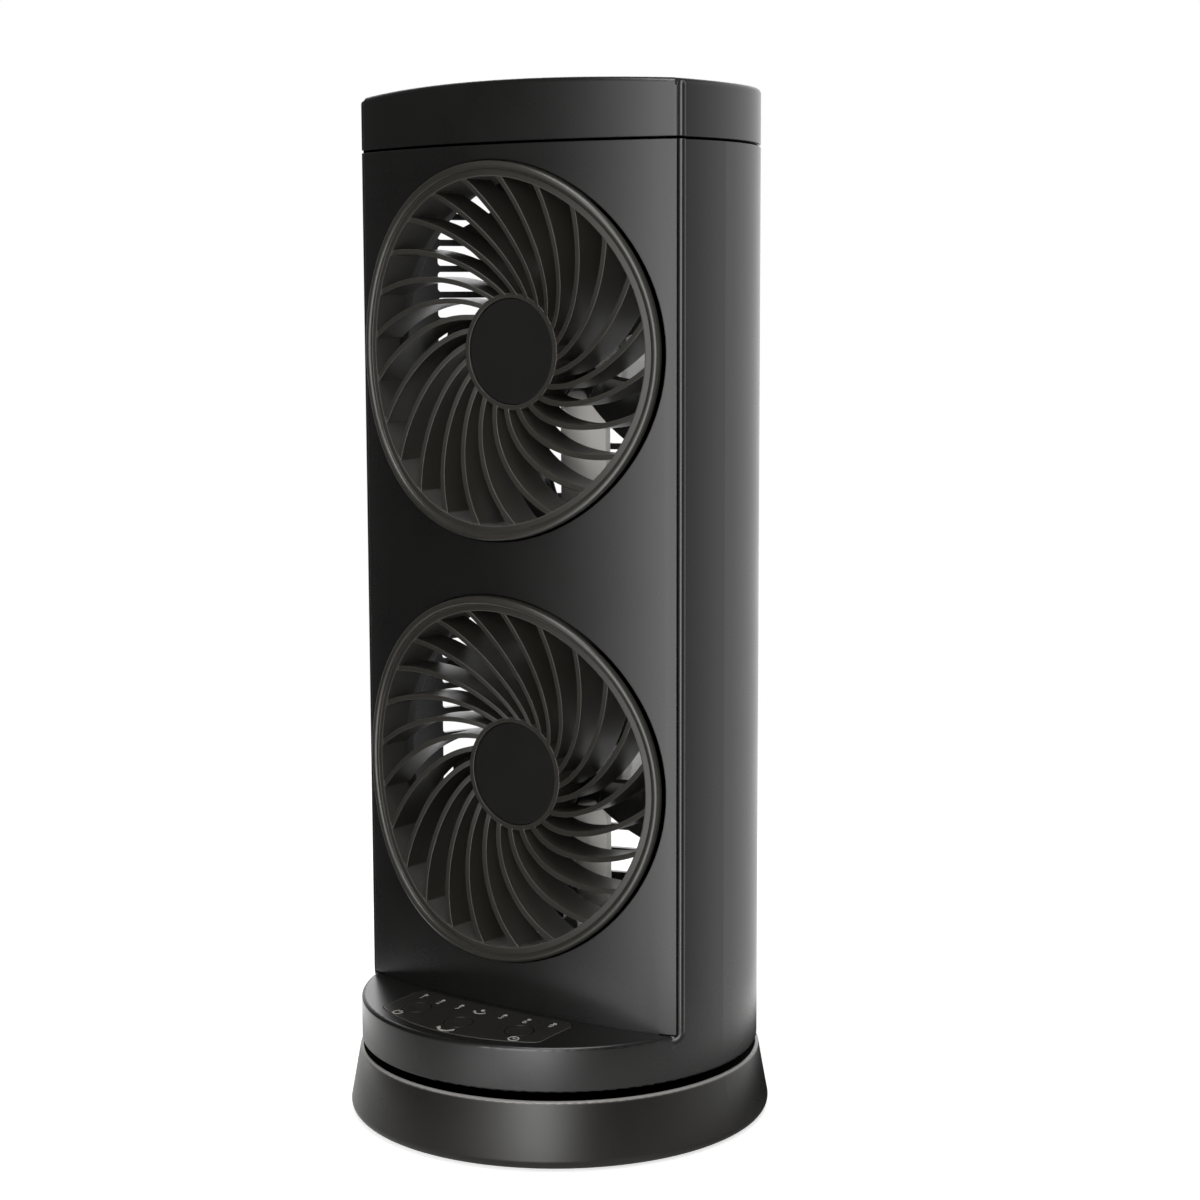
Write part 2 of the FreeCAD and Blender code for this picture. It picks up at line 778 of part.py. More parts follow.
# Swing motor on its bracket, with the pinion that rolls on the fixed gear
ear_top_z = bracket_top_z + ear_thickness
ear_holes = [upright(middle_screw + hole_gap, x, y) for x, y in ear_places]
legs = [upright(bracket_leg_radius, x, y, pan_top_z, bracket_z) for x, y in ear_places]
bracket = box(
    -bracket_half_width, pinion_y - bracket_front, bracket_z,
    bracket_half_width, pinion_y + bracket_back, bracket_top_z)
bracket = bracket.makeFillet(bracket_corner, edges_along(bracket, z_axis)).multiFuse(legs)
pieces["swing_motor_bracket"] = bracket.cut(ear_holes + [upright(bracket_window_radius, 0, pinion_y)])
swing_motor = upright(swing_motor_radius, 0, swing_motor_y, bracket_top_z, swing_motor_top_z)
lid_edges = [edge for edge in swing_motor.Edges if abs(edge.CenterOfMass.z - swing_motor_top_z) < 0.01]
swing_motor = swing_motor.makeFillet(swing_motor_edge, lid_edges)
ears = box(
    -ear_reach, swing_motor_y - ear_half_width, bracket_top_z,
    ear_reach, swing_motor_y + ear_half_width, ear_top_z)
block_half_width, block_front, block_back, block_lift, block_drop = lead_block
leads = box(
    -block_half_width, swing_motor_y + block_front, bracket_top_z + block_lift,
    block_half_width, swing_motor_y + block_back, swing_motor_top_z - block_drop)
shaft_room_z = bracket_top_z + swing_motor_height / 2
shaft_room = upright(pinion_shaft_radius + running_gap, 0, pinion_y, 0, shaft_room_z)
pieces["swing_motor"] = swing_motor.multiFuse([ears, leads]).cut(ear_holes + [shaft_room])
ear_screws = []
for x, y in ear_places:
    ear_screw_length = ear_top_z - ear_bore_z - slip_gap
    ear_screws.append(screw(Vector(x, y, ear_top_z), -z_axis, middle_screw, ear_screw_length))
pieces["swing_motor_screws"] = Part.makeCompound(ear_screws)
pinion = gear(pinion_teeth, pinion_root_width, gear_z - pinion_overhang / 2, gear_top_z + pinion_overhang)
half_tooth = 180.0 / pinion_teeth
pinion = pinion.rotated(origin, z_axis, -90 + half_tooth).translated(Vector(0, pinion_y, 0))
pinion_shaft = upright(pinion_shaft_radius, 0, pinion_y, gear_z, shaft_room_z - moving_gap)
pieces["swing_pinion"] = pinion.fuse(pinion_shaft)

# Control board, switches, buttons and indicator lenses under the shelf
circuit = upright(circuit_radius, 0, 0, circuit_z, circuit_top_z)
circuit = circuit.common(box(-circuit_half_width, -beyond, 0, circuit_half_width, circuit_back_y, beyond))
circuit_screws = []
for x, y in circuit_screw_places:
    circuit = circuit.cut(upright(middle_screw + hole_gap, x, y))
    circuit_screws.append(screw(Vector(x, y, circuit_z), z_axis, middle_screw, circuit_screw_length))
pieces["control_board"] = circuit
pieces["board_screws"] = Part.makeCompound(circuit_screws)
switches = []
plunger_z = circuit_top_z + switch_plunger_rise
for x, y in button_places():
    half = switch_half_width
    body = box(x - half, y - half, circuit_top_z, x + half, y + half, circuit_top_z + switch_height)
    plunger = upright(switch_plunger_radius, x, y, circuit_top_z + switch_height / 2, plunger_z)
    switches.append(body.fuse(plunger))
pieces["tact_switches"] = Part.makeCompound(switches)
lamps = []
lenses = []
lamp_top_z = circuit_top_z + lamp_height
for x, y in lens_places():
    half = lamp_half_width
    lamps.append(box(x - half, y - half, circuit_top_z, x + half, y + half, lamp_top_z))
    lens = upright(lens_radius, x, y, lamp_top_z + hole_gap, rim_z + shelf_band)
    lenses.append(lens.cut(shelf_slab(-rim_height, -lens_proud, base_radius)))
pieces["indicator_lamps"] = Part.makeCompound(lamps)
pieces["indicator_lenses"] = Part.makeCompound(lenses)
above_pads = shelf_slab(-rim_height, -button_proud, base_radius)
flange_top_z = shelf_z(button_ring + button_radius + button_flange) - casing_wall - slip_gap
flange_z = flange_top_z - button_flange_thickness
dimple_z = shelf_z(button_ring) + dimple_radius - dimple_depth
for name, (x, y) in zip(("power_button", "swing_button", "timer_button"), button_places()):
    pad = upright(button_radius, x, y, flange_z, rim_z + shelf_band)
    pad = pad.cut([above_pads, Part.makeSphere(dimple_radius, Vector(x, y, dimple_z))])
    flange = upright(button_radius + button_flange, x, y, flange_z, flange_top_z)
    stem = upright(button_stem_radius, x, y, plunger_z + lap, flange_top_z)
    pieces[name] = pad.multiFuse([flange, stem])

# Front panel with its two round openings, screw posts and side tongues
panel = face_body(0, rim_z - panel_foot, seam_z).cut(face_body(panel_thickness))
panel = panel.common(front_half(panel_half_width, 0, beyond))
tongue_heights = (rim_z + tongue_rise, (lower_fan_z + upper_fan_z) / 2, seam_z - tongue_drop)
panel_cuts = []
panel_extras = []
for side in (1, -1):
    x0, x1 = sorted((side * panel_foot_half_width, side * casing_radius))
    panel_cuts.append(box(x0, -beyond, 0, x1, 0, rim_z + moving_gap))
    x0, x1 = sorted((side * (tongue_outer_x - tongue_thickness), side * tongue_outer_x))
    for height in tongue_heights:
        z0 = height - tongue_half_height
        tongue = box(x0, -beyond, z0, x1, tongue_back_y, height + tongue_half_height)
        panel_extras.append(tongue.common(face_body(panel_thickness / 2)))
panel_screws = []
screw_bores = []
for fan_z in fan_heights.values():
    panel_cuts.append(across(ring_outer + aperture_gap, fan_z, -beyond, 0))
    for angle in tab_angles:
        x, height = around(tab_circle, angle)
        z = fan_z + height
        panel_extras.append(across(panel_post_radius, z, face_y(x, 0) + panel_thickness / 2, tab_y, x))
        screw_bores.append(across(middle_screw + thread_gap, z, tab_y - panel_bore_depth, 0, x))
        head_place = Vector(x, tab_y + tab_thickness, z)
        panel_screws.append(screw(head_place, -y_axis, middle_screw, panel_screw_length))
panel = panel.multiFuse(panel_extras).cut(panel_cuts).cut(screw_bores)
pieces["front_panel"] = panel
pieces["panel_screws"] = Part.makeCompound(panel_screws)

# Top cap with a crowned roof, a groove at the seam and a locating rim
roof_centre_z = crown_z - crown_radius
cap = tower_prism(0, cap_z, crown_z + lap).common(across(crown_radius, roof_centre_z))
roof_edges = []
for edge in cap.Edges:
    if edge.BoundBox.ZMin > crown_z - crown_drop - lap:
        roof_edges.append(edge)
cap = cap.makeFillet(cap_edge_radius, roof_edges)
bead_x, bead_y = around(bead_circle, -bead_angle)
bead_top_z = roof_centre_z + math.sqrt((crown_radius - bead_top_drop) ** 2 - bead_x ** 2)
cap_foot = [tower_prism(seam_depth, seam_z, cap_z + lap)]
for side in (1, -1):
    cap_foot.append(bead(side, seam_z, cap_z + lap, seam_bead_step))
    cap_foot.append(bead_top(side, cap_z, bead_top_z))
cap_front = face_body(0, cap_z, bead_top_z - bead_radius).cut(face_body(panel_thickness))
cap_foot.append(cap_front.common(front_half(panel_half_width, 0, beyond)))
cap = cap.multiFuse(cap_foot)
roof_under = across(crown_radius - casing_wall, roof_centre_z)
cap = cap.cut(tower_prism(casing_wall, seam_z - lap, crown_z).common(roof_under))
rim_shrink = casing_wall + cap_rim_gap
rim_top_z = cap_z + cap_rim_height
rim_room = tower_prism(rim_shrink + cap_rim_wall, seam_z - cap_rim_depth - lap, rim_top_z + lap)
locating_rim = tower_prism(rim_shrink, seam_z - cap_rim_depth, rim_top_z).cut(rim_room)
ledge = tower_prism(casing_wall - cap_rim_gap, cap_z, rim_top_z).cut(rim_room)
pieces["top_cap"] = cap.multiFuse([locating_rim, ledge])


# Grille: a ring that follows the bowed front, a hub and swept vanes between them
def ring_curve(radius, height):
    points = []
    for degrees in range(0, 360, 5):
        x, z = around(radius, degrees)
        points.append(Vector(x, height(x), z))
    curve = Part.BSplineCurve()
    curve.interpolate(points, True)
    return curve.toShape()


def vane_plan():
    # The plan of one vane seen from the front: swept, with a hook at the hub.
    inner = hub_radius - vane_bite
    outer = ring_inner + vane_bite / 2
    middle = []
    for step in range(vane_steps + 1):
        share = step / vane_steps
        angle = vane_turn + vane_sweep * share - vane_hook * (1 - share) ** 3
        x, z = around(inner + (outer - inner) * share, angle)
        middle.append(Vector(x, face_crown_y - base_radius, z))
    left = []
    right = []
    for index in range(vane_steps + 1):
        along = middle[min(index + 1, vane_steps)] - middle[max(index - 1, 0)]
        sideways = Vector(-along.z, 0, along.x).normalize() * (vane_thickness / 2)
        left.append(middle[index] + sideways)
        right.append(middle[index] - sideways)
    curves = []
    for points in (left, right):
        curve = Part.BSplineCurve()
        curve.interpolate(points)
        curves.append(curve.toShape())
    ends = [Part.makeLine(left[0], right[0]), Part.makeLine(left[-1], right[-1])]
    return Part.Face(Part.Wire(Part.sortEdges(curves + ends)[0]))


def on_ring_front(edge):
    probe = edge.valueAt((edge.FirstParameter + edge.LastParameter) / 2)
    return edge.BoundBox.YLength > 0.5 and abs(probe.y - face_y(probe.x, ring_proud)) < 0.05


rim = across(ring_outer, 0, -beyond, ring_back_y).cut(across(ring_band, 0))
rim = rim.common(face_body(-ring_proud))
rim = rim.makeFillet(ring_round, [edge for edge in rim.Edges if on_ring_front(edge)])
band_proud = ring_proud - band_set_back
band = across(ring_band + slip_gap, 0, -beyond, ring_back_y).cut(across(ring_inner, 0))
band = band.common(face_body(-band_proud))
flange_front = panel_thickness + slip_gap
flange = face_body(flange_front).cut(face_body(flange_front + flange_thickness))
flange = flange.common(across(flange_radius, 0, -beyond, 0)).cut(across(ring_outer - lap, 0))
flange = flange.common(upright(inner_radius - slip_gap, 0, 0))
tabs = []
post_rooms = []
for angle in tab_angles:
    x, height = around(tab_circle, angle)
    post_rooms.append(across(panel_post_radius + moving_gap, height, -beyond, 0, x))
    tab = across(tab_radius, height, tab_y, tab_y + tab_thickness, x)
    inner_x, inner_z = around(ring_outer - tab_bite, angle)
    arm = box(-tab_radius, tab_y, 0, tab_radius, tab_y + tab_thickness, tab_circle - ring_outer + tab_bite)
    arm = arm.rotated(origin, y_axis, 90 - angle).translated(Vector(inner_x, 0, inner_z))
    tab_hole = across(middle_screw + hole_gap, height, -beyond, 0, x)
    tabs.append(tab.fuse(arm).cut([tab_hole, across(ring_inner + lap, 0)]))
flange = flange.cut(post_rooms)
vane_end = ring_inner + vane_bite / 2 + slip_gap
vane_start = hub_radius - vane_bite - slip_gap
vane_waist = (vane_start + vane_end) / 2


def vane_rim_y(x):
    return face_y(x, band_proud) + vane_set_back


def vane_waist_y(x):
    return (hub_cap_y + vane_rim_y(x * vane_end / vane_waist)) / 2 - vane_bulge


layer_rings = [
    ring_curve(vane_start, lambda x: hub_cap_y),
    ring_curve(vane_waist, vane_waist_y),
    ring_curve(vane_end, vane_rim_y),
]
vane_layer = Part.makeLoft([Part.Wire(edge) for edge in layer_rings], False, False)
vane_layer = vane_layer.Faces[0].extrude(Vector(0, vane_depth, 0))
vane_blank = vane_plan().extrude(Vector(0, 2 * base_radius, 0))
vanes = []
for index in range(vane_count // 2):
    vane = vane_blank.rotated(origin, y_axis, -360.0 / vane_count * index).common(vane_layer)
    vanes.append(vane)
    vanes.append(vane.rotated(origin, y_axis, 180))
hub = across(hub_radius, 0, hub_y, hub_y + hub_depth)
hub = hub.cut(across(hub_cap_radius + hub_cap_gap, 0, hub_y - lap, hub_cap_y + hub_cap_thickness))
hub = hub.cut(across(hub_radius - hub_wall, 0, hub_y + hub_floor, 0))
grille = rim.multiFuse([band, flange, hub] + vanes + tabs)
hub_cap = across(hub_cap_radius, 0, hub_cap_y, hub_cap_y + hub_cap_thickness)
hub_cap = hub_cap.makeFillet(hub_cap_sink, circle_edges(hub_cap, hub_cap_y))

# Shroud, motor mount and motor behind each grille
mount_screw_places = []
for side in (1, -1):
    for end in (1, -1):
        mount_screw_places.append((side * standoff_spread, end * standoff_ring))
motor_screw_places = [around(motor_screw_ring, angle) for angle in motor_screw_angles]
small_bore = small_screw + thread_gap
standoffs = [across(standoff_radius, z, ring_back_y, mount_y, x) for x, z in mount_screw_places]
bore_end_y = mount_y - mount_screw_length
standoff_bores = [across(small_bore, z, bore_end_y, beyond, x) for x, z in mount_screw_places]
shroud = across(shroud_outer, 0, ring_back_y, shroud_back_y).multiFuse(standoffs)
shroud = shroud.cut([across(shroud_inner, 0)] + standoff_bores)
strap_end = standoff_ring + standoff_radius
strap = box(-strap_half_width, mount_y, -strap_end, strap_half_width, mount_back_y, strap_end)
strap = strap.makeFillet(strap_corner, edges_along(strap, y_axis))
mount = strap.fuse(across(motor_radius + mount_margin, 0, mount_y, mount_back_y)).cut(across(mount_bore, 0))
mount_holes = motor_screw_places + mount_screw_places
mount = mount.cut([across(small_screw + slip_gap, z, x=x) for x, z in mount_holes])
motor = across(motor_radius, 0, mount_back_y, motor_back_y)
motor = motor.makeFillet(motor_edge, circle_edges(motor, motor_back_y))
back_boss = across(motor_boss_radius, 0, motor_back_y - lap, motor_back_y + motor_boss_rise)
front_boss = across(motor_boss_radius, 0, mount_y + moving_gap, mount_back_y + lap)
motor = motor.fuse(back_boss).fuse(front_boss)
motor_cuts = [across(shaft_radius + running_gap, 0, -beyond, motor_back_y - lap)]
for x, z in motor_screw_places:
    motor_cuts.append(across(small_bore, z, mount_back_y - lap, mount_back_y + motor_screw_length, x))
motor = motor.cut(motor_cuts)
shaft = across(shaft_radius, 0, impeller_front_y + impeller_hub_front, motor_back_y - 2 * lap)


# Impeller: a cup-shaped hub with cambered, twisted blades
def blade_section(radius, chord, pitch, thickness, lean):
    tilt = math.radians(pitch)
    middle_y = (impeller_front_y + impeller_back_y) / 2
    spots = []
    for side in (1, -1):
        for share in (-1, 0, 1):
            along = share * chord / 2
            off = blade_camber * chord * (1 - share ** 2) + side * thickness / 2
            y = middle_y + along * math.sin(tilt) + off * math.cos(tilt)
            z = along * math.cos(tilt) - off * math.sin(tilt)
            spots.append(Vector(radius, y, z))
    edges = [
        Part.Arc(spots[0], spots[1], spots[2]).toShape(),
        Part.makeLine(spots[2], spots[5]),
        Part.Arc(spots[5], spots[4], spots[3]).toShape(),
        Part.makeLine(spots[3], spots[0]),
    ]
    return Part.Wire(edges).rotated(origin, y_axis, -lean)


blade = Part.makeLoft([blade_section(*station) for station in blade_stations], True, False)
sweep_space = across(blade_tip, 0, impeller_front_y + moving_gap, impeller_back_y - slip_gap)
blade = blade.common(sweep_space).cut(across(impeller_hub_radius - impeller_hub_wall / 2, 0))
impeller_hub = across(impeller_hub_radius, 0, impeller_front_y, impeller_back_y)
impeller_hub = impeller_hub.makeFillet(impeller_hub_edge, circle_edges(impeller_hub, impeller_front_y))
cup_y = impeller_front_y + impeller_hub_front
impeller_hub = impeller_hub.cut(across(impeller_hub_radius - impeller_hub_wall, 0, cup_y))
impeller_hub = impeller_hub.fuse(across(impeller_boss_radius, 0, cup_y - lap, impeller_back_y))
impeller_hub = impeller_hub.cut(across(shaft_radius + impeller_press, 0, cup_y))
blades = [blade.rotated(origin, y_axis, 360.0 / blade_count * index) for index in range(blade_count)]
impeller = impeller_hub.multiFuse(blades)

# Both fans are the same set of pieces
motor_screws = []
mount_screws = []
for name, fan_z in fan_heights.items():
    lift = Vector(0, 0, fan_z)
    pieces[name + "_grille"] = grille.translated(lift)
    pieces[name + "_hub_cap"] = hub_cap.translated(lift)
    pieces[name + "_shroud"] = shroud.translated(lift)
    pieces[name + "_motor_mount"] = mount.translated(lift)
    pieces[name + "_motor"] = motor.translated(lift)
    pieces[name + "_impeller"] = impeller.rotated(origin, y_axis, -blade_starts[name]).translated(lift)
    pieces[name + "_motor_shaft"] = shaft.translated(lift)
    for x, z in motor_screw_places:
        motor_screws.append(screw(Vector(x, mount_y, fan_z + z), y_axis, small_screw, motor_screw_length))
    for x, z in mount_screw_places:
        head_place = Vector(x, mount_back_y, fan_z + z)
        mount_screws.append(screw(head_place, -y_axis, small_screw, mount_screw_length))
pieces["motor_screws"] = Part.makeCompound(motor_screws)
pieces["mount_screws"] = Part.makeCompound(mount_screws)

for name, shape in pieces.items():
    shape.exportStep("parts/%s.step" % name)
    print(name, len(shape.Solids), shape.isValid(), round(shape.Volume / 1000, 2))
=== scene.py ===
import json
import math

import bpy
from mathutils import Matrix, Vector


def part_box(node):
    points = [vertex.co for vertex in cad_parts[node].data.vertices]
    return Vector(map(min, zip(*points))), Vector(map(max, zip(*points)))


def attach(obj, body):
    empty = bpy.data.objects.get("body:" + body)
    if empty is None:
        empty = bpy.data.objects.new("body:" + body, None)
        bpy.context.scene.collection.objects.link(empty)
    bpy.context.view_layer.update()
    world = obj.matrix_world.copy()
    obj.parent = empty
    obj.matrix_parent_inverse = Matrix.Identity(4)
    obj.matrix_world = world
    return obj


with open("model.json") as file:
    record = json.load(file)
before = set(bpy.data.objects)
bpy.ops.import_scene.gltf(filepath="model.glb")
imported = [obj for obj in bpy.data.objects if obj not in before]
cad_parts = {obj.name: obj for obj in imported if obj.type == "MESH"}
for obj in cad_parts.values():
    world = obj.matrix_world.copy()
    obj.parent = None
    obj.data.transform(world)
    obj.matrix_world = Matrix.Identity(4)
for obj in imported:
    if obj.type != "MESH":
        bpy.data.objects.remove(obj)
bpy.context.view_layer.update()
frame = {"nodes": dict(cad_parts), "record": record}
nodes = frame["nodes"]
scene = bpy.context.scene
scene.view_settings.view_transform = "Standard"
mm = 0.001
black = (0.0, 0.0, 0.0, 1.0)
upward = Vector((0.0, 0.0, 1.0))
print("frame loaded:", len(nodes), "nodes")


# small helpers

def clearSelection():
    if bpy.context.mode != "OBJECT":
        bpy.ops.object.mode_set(mode="OBJECT")
    bpy.ops.object.select_all(action="DESELECT")


def opaque(colour, share=1.0):
    return tuple(share * c for c in colour) + (1.0,)


def feed(tree, socket, value):  # a number or a colour is set, an output is linked
    if isinstance(value, (int, float, tuple)):
        socket.default_value = value
    else:
        tree.links.new(value, socket)


def freshGroup(name, inputs, outputs):
    group = bpy.data.node_groups.new(name, "ShaderNodeTree")
    for label, kind, value in inputs:
        socket = group.interface.new_socket(label, in_out="INPUT", socket_type="NodeSocket" + kind)
        if value is not None:
            socket.default_value = value
    for label, kind in outputs:
        group.interface.new_socket(label, in_out="OUTPUT", socket_type="NodeSocket" + kind)
    return group, group.nodes.new("NodeGroupInput"), group.nodes.new("NodeGroupOutput")


def mathNode(tree, operation, *values, clamp=False):
    node = tree.nodes.new("ShaderNodeMath")
    node.operation = operation
    node.use_clamp = clamp
    for slot, value in enumerate(values):
        feed(tree, node.inputs[slot], value)
    return node.outputs[0]


def vectorNode(tree, operation, *values):
    node = tree.nodes.new("ShaderNodeVectorMath")
    node.operation = operation
    for slot, value in enumerate(values):
        feed(tree, node.inputs[slot], value)
    return node


def rangeNode(tree, value, low, high, toLow=0.0, toHigh=1.0):
    node = tree.nodes.new("ShaderNodeMapRange")
    node.interpolation_type = "SMOOTHSTEP"
    ends = (("From Min", low), ("From Max", high), ("To Min", toLow), ("To Max", toHigh))
    for label, number in (("Value", value),) + ends:
        feed(tree, node.inputs[label], number)
    return node.outputs["Result"]


def noiseNode(tree, vector, scale, detail, rough=0.5):
    node = tree.nodes.new("ShaderNodeTexNoise")
    for label, value in (("Vector", vector), ("Scale", scale), ("Detail", detail), ("Roughness", rough)):
        feed(tree, node.inputs[label], value)
    return node.outputs["Fac"]


def mixColour(tree, amount, first, second):
    node = tree.nodes.new("ShaderNodeMix")
    node.data_type = "RGBA"
    for slot, value in ((0, amount), (6, first), (7, second)):
        feed(tree, node.inputs[slot], value)
    return node.outputs[2]


# node groups shared by the finishes

grainLook = {"fineDetail": 3.0, "fineRough": 0.62, "cellSoft": 0.6, "cellScale": 0.8, "cellDepth": 0.5,
             "mottleScale": 42.0, "mottleDetail": 4.0}


def makeMouldGrain(look):  # the fine spark-eroded skin of a moulded plastic
    group, given, put = freshGroup(
        "mouldGrain",
        [("Vector", "Vector", None), ("Size", "Float", 0.0005)],
        [("Height", "Float"), ("Mottle", "Float")],
    )
    place = given.outputs["Vector"]
    scale = mathNode(group, "DIVIDE", 1.0, given.outputs["Size"])
    fine = noiseNode(group, place, scale, look["fineDetail"], look["fineRough"])
    slow = noiseNode(group, place, look["mottleScale"], look["mottleDetail"])
    cells = group.nodes.new("ShaderNodeTexVoronoi")
    cells.feature = "SMOOTH_F1"
    cells.inputs["Smoothness"].default_value = look["cellSoft"]
    group.links.new(place, cells.inputs["Vector"])
    group.links.new(mathNode(group, "MULTIPLY", scale, look["cellScale"]), cells.inputs["Scale"])
    pits = mathNode(group, "MULTIPLY", cells.outputs["Distance"], look["cellDepth"])
    group.links.new(mathNode(group, "ADD", fine, pits), put.inputs["Height"])
    group.links.new(slow, put.inputs["Mottle"])
    return group


wearHighlightLook = {"samples": 6, "edgeFrom": 0.96, "edgeFull": 0.72, "patchScale": 260.0, "patchDetail": 5.0,
           "patchLow": 0.3, "patchHigh": 0.7, "patchLeast": 0.75}


def makeEdgeWearHighlight(look):  # where handling has polished a corner, and a painted highlight: every edge is made lighter in colour
    group, given, put = freshGroup(
        "edgeWearHighlight",
        [("Vector", "Vector", None), ("Radius", "Float", 0.0006)],
        [("Mask", "Float"), ("Normal", "Vector")],
    )
    bevel = group.nodes.new("ShaderNodeBevel")
    bevel.samples = look["samples"]
    group.links.new(given.outputs["Radius"], bevel.inputs["Radius"])
    flat = group.nodes.new("ShaderNodeNewGeometry").outputs["Normal"]
    turned = vectorNode(group, "DOT_PRODUCT", bevel.outputs["Normal"], flat).outputs["Value"]
    edge = rangeNode(group, turned, look["edgeFrom"], look["edgeFull"])
    patches = noiseNode(group, given.outputs["Vector"], look["patchScale"], look["patchDetail"])
    patchy = rangeNode(group, patches, look["patchLow"], look["patchHigh"], look["patchLeast"])
    group.links.new(mathNode(group, "MULTIPLY", edge, patchy), put.inputs["Mask"])
    group.links.new(bevel.outputs["Normal"], put.inputs["Normal"])
    return group


dustLook = {"facingFrom": 0.35, "facingFull": 0.95, "scale": 900.0, "detail": 6.0, "rough": 0.7,
            "driftLow": 0.42, "driftHigh": 0.72, "driftLeast": 0.15}


def makeSettledDust(look):  # a thin film on what faces up
    group, given, put = freshGroup(
        "settledDust", [("Vector", "Vector", None), ("Amount", "Float", 0.1)], [("Mask", "Float")]
    )
    split = group.nodes.new("ShaderNodeSeparateXYZ")
    group.links.new(group.nodes.new("ShaderNodeNewGeometry").outputs["Normal"], split.inputs[0])
    facing = rangeNode(group, split.outputs["Z"], look["facingFrom"], look["facingFull"])
    specks = noiseNode(group, given.outputs["Vector"], look["scale"], look["detail"], look["rough"])
    drift = rangeNode(group, specks, look["driftLow"], look["driftHigh"], look["driftLeast"])
    film = mathNode(group, "MULTIPLY", facing, drift)
    group.links.new(mathNode(group, "MULTIPLY", film, given.outputs["Amount"]), put.inputs["Mask"])
    return group


mouldGrain = makeMouldGrain(grainLook)
edgeWearHighlight = makeEdgeWearHighlight(wearHighlightLook)
settledDust = makeSettledDust(dustLook)


def placeGroup(tree, group, coords, **values):
    node = tree.nodes.new("ShaderNodeGroup")
    node.node_tree = group
    tree.links.new(coords, node.inputs["Vector"])
    for label, value in values.items():
        node.inputs[label].default_value = value
    return node


def startMaterial(name):
    material = bpy.data.materials.new(name)
    material.use_nodes = True
    tree = material.node_tree
    shader = tree.nodes["Principled BSDF"]
    coords = tree.nodes.new("ShaderNodeTexCoord").outputs["Object"]
    return material, tree, shader, coords


# what the plastics have in common; each finish changes what it needs
plasticLook = {"rough": 0.28, "satin": 0.012, "polish": 0.08, "matt": 0.5, "ior": 1.5,
               "grain": 0.42 * mm, "relief": 0.14, "depth": 0.04 * mm,
               "drift": 0.08, "driftLow": 0.3, "driftHigh": 0.7,
               "edge": 0.4 * mm, "wearHighlight": 0.20, "wearHighlightColour": (0.045, 0.044, 0.043),
               "dust": 0.02, "dustColour": (0.19, 0.18, 0.165)}


def mouldedPlastic(name, look):
    material, tree, shader, coords = startMaterial(name)
    grain = placeGroup(tree, mouldGrain, coords, Size=look["grain"])
    wearHighlight = placeGroup(tree, edgeWearHighlight, coords, Radius=look["edge"])
    dust = placeGroup(tree, settledDust, coords, Amount=look["dust"]).outputs["Mask"]
    darker = opaque(look["colour"], 1 - look["drift"])
    lighter = opaque(look["colour"], 1 + look["drift"])
    mottle = (grain.outputs["Mottle"], look["driftLow"], look["driftHigh"])
    body = mixColour(tree, rangeNode(tree, *mottle), darker, lighter)
    # edge wear and a painted highlight: every edge is lighter in colour
    wearHighlightAmount = mathNode(tree, "MULTIPLY", wearHighlight.outputs["Mask"], look["wearHighlight"])
    wearHighlighted = mixColour(tree, wearHighlightAmount, body, opaque(look["wearHighlightColour"]))
    dusty = mixColour(tree, dust, wearHighlighted, opaque(look["dustColour"]))
    tree.links.new(dusty, shader.inputs["Base Color"])
    satin = rangeNode(tree, *mottle, look["rough"] - look["satin"], look["rough"] + look["satin"])
    shine = mathNode(tree, "MULTIPLY", wearHighlight.outputs["Mask"], look["polish"])
    polished = mathNode(tree, "SUBTRACT", satin, shine)
    dull = mathNode(tree, "MULTIPLY", dust, look["matt"])
    tree.links.new(mathNode(tree, "ADD", polished, dull, clamp=True), shader.inputs["Roughness"])
    bump = tree.nodes.new("ShaderNodeBump")
    bump.inputs["Strength"].default_value = look["relief"]
    bump.inputs["Distance"].default_value = look["depth"]
    tree.links.new(grain.outputs["Height"], bump.inputs["Height"])
    tree.links.new(wearHighlight.outputs["Normal"], bump.inputs["Normal"])
    tree.links.new(bump.outputs["Normal"], shader.inputs["Normal"])
    shader.inputs["IOR"].default_value = look["ior"]
    return material


metalLook = {"detail": 5.0, "dark": 0.82, "satin": 0.08, "low": 0.25, "high": 0.75}


def plainMetal(name, look):
    material, tree, shader, coords = startMaterial(name)
    brushed = tree.nodes.new("ShaderNodeMapping")
    brushed.inputs["Scale"].default_value = look["streak"]
    tree.links.new(coords, brushed.inputs["Vector"])
    streaks = noiseNode(tree, brushed.outputs["Vector"], 1.0, look["detail"])
    sheen = mixColour(tree, streaks, opaque(look["colour"], look["dark"]), opaque(look["colour"]))
    tree.links.new(sheen, shader.inputs["Base Color"])
    shader.inputs["Metallic"].default_value = 1.0
    satin = rangeNode(tree, streaks, look["low"], look["high"],
                      look["rough"] - look["satin"], look["rough"] + look["satin"])
    tree.links.new(satin, shader.inputs["Roughness"])
    return material


# changes to a finish at certain places

def tint(tree, mask, colour):
    base = tree.nodes["Principled BSDF"].inputs["Base Color"]
    tree.links.new(mixColour(tree, mask, base.links[0].from_socket, colour), base)


def shadowAt(tree, mask):  # a deep gap or a wall in the dark takes neither colour nor shine
    shader = tree.nodes["Principled BSDF"]
    tint(tree, mask, black)
    tree.links.new(mask, shader.inputs["Metallic"])
    rough = shader.inputs["Roughness"]
    tree.links.new(mathNode(tree, "MAXIMUM", rough.links[0].from_socket, mask), rough)


def splitPlace(tree):
    split = tree.nodes.new("ShaderNodeSeparateXYZ")
    tree.links.new(tree.nodes.new("ShaderNodeTexCoord").outputs["Object"], split.inputs[0])
    return split.outputs["X"], split.outputs["Y"], split.outputs["Z"]


def reachNode(tree, first, second):  # distance from an axis
    squares = [mathNode(tree, "POWER", value, 2.0) for value in (first, second)]
    return mathNode(tree, "SQRT", mathNode(tree, "ADD", *squares))


finishes = {}

